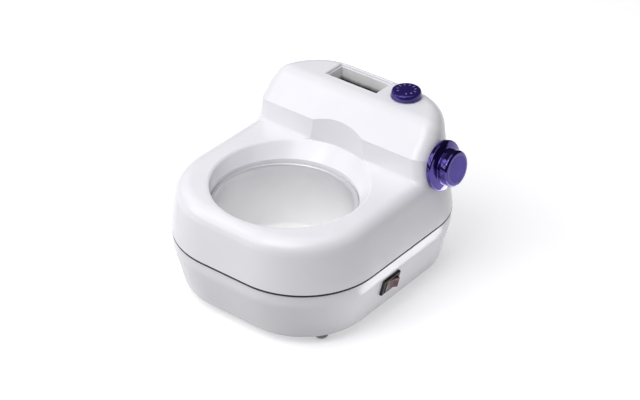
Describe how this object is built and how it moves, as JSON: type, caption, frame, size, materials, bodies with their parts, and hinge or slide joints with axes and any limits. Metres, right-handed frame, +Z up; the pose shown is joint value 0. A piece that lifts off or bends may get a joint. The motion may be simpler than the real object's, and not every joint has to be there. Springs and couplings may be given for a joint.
{
  "type": "wax warmer pot",
  "caption": "Tabletop wax warmer: white case with a round heated well in a low front deck, a tall rear tower with a heated cartridge slot, a top dial, a side knob and a rocker switch.",
  "frame": {"origin": "on the table plane, under the axis of the round heating well", "axes": "+Z up; -Y towards the front, where the well is; +X towards the knob and switch side"},
  "size_m": [0.1984, 0.219, 0.1488],
  "materials": {
    "housing_plastic": "glossy moulded white ABS",
    "seal_rubber": "matt dark silicone",
    "well_aluminium": "satin anodised",
    "gasket_rubber": "matt",
    "bracket_steel": "plain rolled sheet",
    "screw_steel": "zinc plated",
    "heater_steel": "heat-stained sheet",
    "control_plastic": "moulded phenolic",
    "slot_aluminium": "satin",
    "knob_plastic": "polished dark purple",
    "cap_plastic": "polished purple",
    "nut_brass": "turned",
    "shaft_steel": "turned",
    "switch_plastic": "fine satin black",
    "rocker_plastic": "translucent dark red",
    "terminal_brass": "tinned blade",
    "foot_rubber": "matt grey"
  },
  "bodies": {
    "housing": {"upper_housing": "housing_plastic", "base_tray": "housing_plastic", "seam_seal": "seal_rubber", "heating_well": "well_aluminium", "well_gasket": "gasket_rubber", "retaining_ring": "bracket_steel", "ring_screws": "screw_steel", "band_heater": "heater_steel", "clamp_bolt": "screw_steel", "thermal_cutout": "control_plastic", "cutout_clip": "bracket_steel", "clip_screws": "screw_steel", "slot_well": "slot_aluminium", "slot_heater": "heater_steel", "heater_strap": "bracket_steel", "dial_control": "control_plastic", "dial_nut": "nut_brass", "knob_thermostat": "control_plastic", "knob_nut": "nut_brass", "switch_frame": "switch_plastic", "switch_terminals": "terminal_brass", "cord_gland": "gasket_rubber", "terminal_block": "control_plastic", "block_screws": "screw_steel", "feet": "foot_rubber", "case_screws": "screw_steel"},
    "dial": {"top_dial": "knob_plastic", "dial_shaft": "shaft_steel"},
    "knob": {"side_knob": "knob_plastic", "knob_cap": "cap_plastic", "knob_shaft": "shaft_steel"},
    "rocker": {"rocker": "rocker_plastic"}
  },
  "joints": [
    {"name": "dial_turn", "type": "hinge", "parent": "housing", "child": "dial", "pos_m": [0.0355, 0.1131, 0.142], "axis": [0, 0, 1], "range_deg": [0, 270]},
    {"name": "knob_turn", "type": "hinge", "parent": "housing", "child": "knob", "pos_m": [0.08649, 0.09, 0.1084], "axis": [0.9925, 0, 0.1219], "range_deg": [0, 270]},
    {"name": "rocker_tip", "type": "hinge", "parent": "housing", "child": "rocker", "pos_m": [0.08856, 0.0225, 0.032], "axis": [0.2334, 0, 0.9724], "range_deg": [0, 20]}
  ]
}
